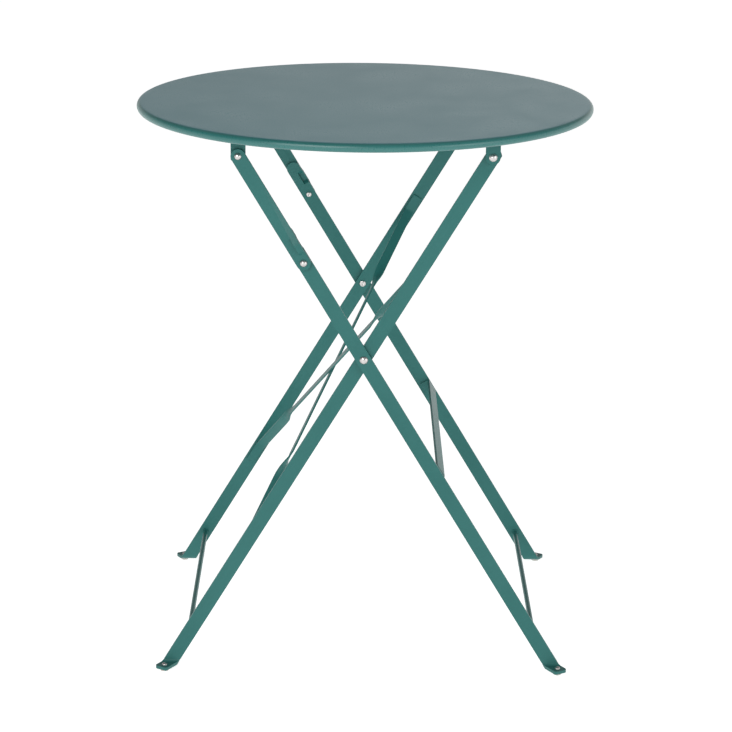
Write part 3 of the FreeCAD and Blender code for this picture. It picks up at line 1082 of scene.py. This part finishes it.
@dataclass
class Welds:
    """Weld beads at the ends of the brace's strips, and spot welds under the rails."""

    shop: Paintshop
    bead_radius: float = 0.95 * MM
    bead_length: float = 11.5 * MM
    ripples: int = 9
    unevenness: float = 0.10 * MM
    rail_gauge: float = 4.0 * MM
    spot_radius: float = 2.8 * MM
    spot_depth: float = 0.22 * MM
    spot_places: tuple[float, ...] = (-0.82, -0.55, -0.28, 0.28, 0.55, 0.82)

    def build(self) -> list[bpy.types.Object]:
        """Make the beads and the spots.

        Returns:
            One object for the beads and one for each rail's spots.
        """
        return [self.beads()] + [self.spots(side) for side in ("left", "right")]

    def beads(self) -> bpy.types.Object:
        """A rippled bead across each end of both strips, on the inner legs' inner faces.

        Returns:
            All the beads as one object.
        """
        scissor, upper = span_of("scissor_rivets"), span_of("top_pivot_rivets_inner")
        up = Vector((upper.x - scissor.x, 0.0, upper.z - scissor.z)).normalized()
        origin = Vector((scissor.x, 0.0, scissor.z))
        corners = corners_of("brace_rear_to_front")
        runs = [(corner - origin).dot(up) for corner in corners]
        depth = max(corner.y for corner in corners) - 0.7 * self.bead_radius
        lean = math.atan2(up.x, up.z)
        beads = []
        for number, run in enumerate((max(runs), min(runs))):
            for side in Side:
                bead = lathe(f"bead_{number}_{side.value}", self.ripple_rings(), 14)
                bead.rotation_euler = (0.0, math.pi / 2 + lean, 0.0)
                bead.location = origin + up * run + Vector((0.0, side.sign * depth, 0.0))
                settle(bead)
                roughen(bead, lambda place: True, self.unevenness, 7 * number + side.sign + 2)
                beads.append(bead)
        piece = join(beads)
        piece.name = "brace_weld_beads"
        self.finish(piece, body_of("inner_rear_leg"))
        return piece

    def ripple_rings(self) -> list[tuple[float, float]]:
        """Rings of one bead, a row of overlapping ripples that tapers at its ends.

        Returns:
            Radius and place along the bead of each ring.
        """
        rings = []
        count = 2 * self.ripples
        for step in range(count + 1):
            share = step / count
            swell = 0.30 + 0.70 * math.sin(math.pi * share) ** 0.4
            ripple = 1.0 if step % 2 else 0.84
            rings.append((self.bead_radius * swell * ripple, self.bead_length * (share - 0.5)))
        return rings

    def spots(self, side: str) -> bpy.types.Object:
        """A row of shallow electrode marks along a rail's lower face.

        Args:
            side: Which rail, left or right.

        Returns:
            The row of marks.
        """
        node = f"{side}_support_rail"
        corners = corners_of(node)
        x, half = middle(corner.x for corner in corners), max(corner.y for corner in corners)
        face = max(corner.z for corner in corners) - self.rail_gauge
        wide, deep = self.spot_radius, self.spot_depth
        profile = [(0.2 * wide, face + deep), (wide, face + deep), (wide, face),
                   (0.86 * wide, face - deep), (0.66 * wide, face - 0.8 * deep),
                   (0.5 * wide, face - 0.25 * deep), (0.15 * wide, face - 0.1 * deep)]
        marks = []
        for number, share in enumerate(self.spot_places):
            mark = lathe(f"spot_{side}_{number}", profile, 28)
            mark.location = (x, half * share, 0.0)
            settle(mark)
            marks.append(mark)
        piece = join(marks)
        piece.name = f"{side}_rail_spot_welds"
        self.finish(piece, body_of(node))
        return piece

    def finish(self, piece: bpy.types.Object, body: str) -> None:
        """Shade, paint and attach a row of welds.

        Args:
            piece: The welds.
            body: The CAD body that carries them.
        """
        smooth_by_angle(piece, 50.0)
        self.shop.dress(piece, "bars")
        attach(piece, body)


# ---- stage --------------------------------------------------------------------------
@dataclass
class Studio:
    """The floor, the light and the camera. Places in metres, angles in radians, lens in millimetres."""

    lens: float = 124.22
    camera_place: Point = (-0.0196, -3.1814, 1.2752)
    turn: float = -0.0075
    look_down: float = 0.2839
    roll: float = 0.0097
    floor_size: float = 60.0
    floor_shade: Colour = (0.86, 0.86, 0.86)
    floor_glow: float = 0.78

    def build(self) -> None:
        """Set up the whole studio."""
        self.floor()
        self.sky()
        self.softbox("key", (-1.6, -3.4, 2.1), (0.0, 0.0, 0.40), 2.4, 70.0)
        self.softbox("fill", (2.6, -2.2, 1.2), (0.0, 0.0, 0.35), 1.8, 18.0)
        self.camera()
        bpy.context.scene.view_settings.view_transform = "Standard"

    def camera(self) -> None:
        """A long lens, a little above the table."""
        data = bpy.data.cameras.new("camera")
        data.lens = self.lens
        data.sensor_width = 36.0
        camera = bpy.data.objects.new("camera", data)
        camera.matrix_world = (Matrix.Translation(self.camera_place)
                               @ Matrix.Rotation(self.turn, 4, "Z")
                               @ Matrix.Rotation(math.pi / 2 - self.look_down, 4, "X")
                               @ Matrix.Rotation(self.roll, 4, "Z"))
        bpy.context.scene.collection.objects.link(camera)
        bpy.context.scene.camera = camera

    def floor(self) -> None:
        """A wide pale floor."""
        deselect_all()
        bpy.ops.mesh.primitive_plane_add(size=self.floor_size, location=(0.0, 0.0, 0.0))
        floor = bpy.context.object
        floor.name = "floor"
        recipe = Recipe("pale_floor")
        recipe.feed("Base Color", opaque(self.floor_shade))
        recipe.feed("Roughness", 0.9)
        recipe.feed("Emission Color", (1.0, 1.0, 1.0, 1.0))
        recipe.feed("Emission Strength", self.floor_glow)
        floor.data.materials.append(recipe.material)

    def sky(self) -> None:
        """White round the horizon, dimmer overhead and to the left."""
        world = bpy.data.worlds.new("studio")
        bpy.context.scene.world = world
        world.use_nodes = True
        tree = world.node_tree
        place = add_node(tree, "ShaderNodeTexCoord").outputs["Generated"]
        across, _, height = add_node(tree, "ShaderNodeSeparateXYZ", {0: place}).outputs
        shade = add_node(tree, "ShaderNodeMapRange", {"Value": height, "From Min": 0.10, "From Max": 0.38,
                                                      "To Min": 1.08, "To Max": 0.25},
                         interpolation_type="SMOOTHSTEP")
        sweep = add_node(tree, "ShaderNodeMapRange", {"Value": across, "From Min": -0.13, "From Max": 0.13,
                                                      "To Min": 0.72, "To Max": 1.02},
                         interpolation_type="SMOOTHSTEP")
        both = add_node(tree, "ShaderNodeMath", {0: shade.outputs[0], 1: sweep.outputs[0]},
                        operation="MULTIPLY")
        tree.links.new(both.outputs[0], tree.nodes["Background"].inputs["Strength"])
        tree.nodes["Background"].inputs["Color"].default_value = (1.0, 1.0, 1.0, 1.0)

    def softbox(self, name: str, place: Point, target: Point, size: float, power: float) -> None:
        """A square soft light aimed at a point.

        Args:
            name: Name of the light.
            place: Where it stands.
            target: What it is aimed at.
            size: Side of the square.
            power: Light output in watts.
        """
        data = bpy.data.lights.new(name, "AREA")
        data.shape = "SQUARE"
        data.size = size
        data.energy = power
        light = bpy.data.objects.new(name, data)
        aim = (Vector(target) - Vector(place)).to_track_quat("-Z", "Y")
        light.matrix_world = Matrix.Translation(place) @ aim.to_matrix().to_4x4()
        bpy.context.scene.collection.objects.link(light)


BARS = (
    "outer_front_leg", "outer_rear_leg", "inner_front_leg", "inner_rear_leg",
    "front_upper_link", "rear_upper_link", "left_support_rail", "right_support_rail",
    "outer_flat_stretcher", "brace_front_to_rear", "brace_rear_to_front",
)


def dress_cad_nodes(shop: Paintshop) -> None:
    """Give every CAD node the finish of its material slot.

    Args:
        shop: The finishes.
    """
    slots = {part["node"]: part["material_slot"] for part in frame["record"]["subparts"]}
    for node, piece in frame["nodes"].items():
        slot = slots[node]
        key = "bars" if slot == Slot.PAINT.value else slot
        for holder in piece.material_slots:
            holder.material = shop.made[key]


def main() -> None:
    """Build every sub-assembly, then the studio."""
    logging.basicConfig(level=logging.INFO, format="%(message)s")
    shop = Paintshop()
    dress_cad_nodes(shop)
    pieces = [PressedTop(shop).build()]
    for part in (FlatBars(shop, BARS), Rods(shop), Rivets(shop), Washers(shop), Feet(shop),
                 Welds(shop)):
        pieces += part.build()
    for piece in pieces:
        LOG.info("%s: %d faces", piece.name, len(piece.data.polygons))
    Studio().build()


if __name__ == "__main__":
    main()
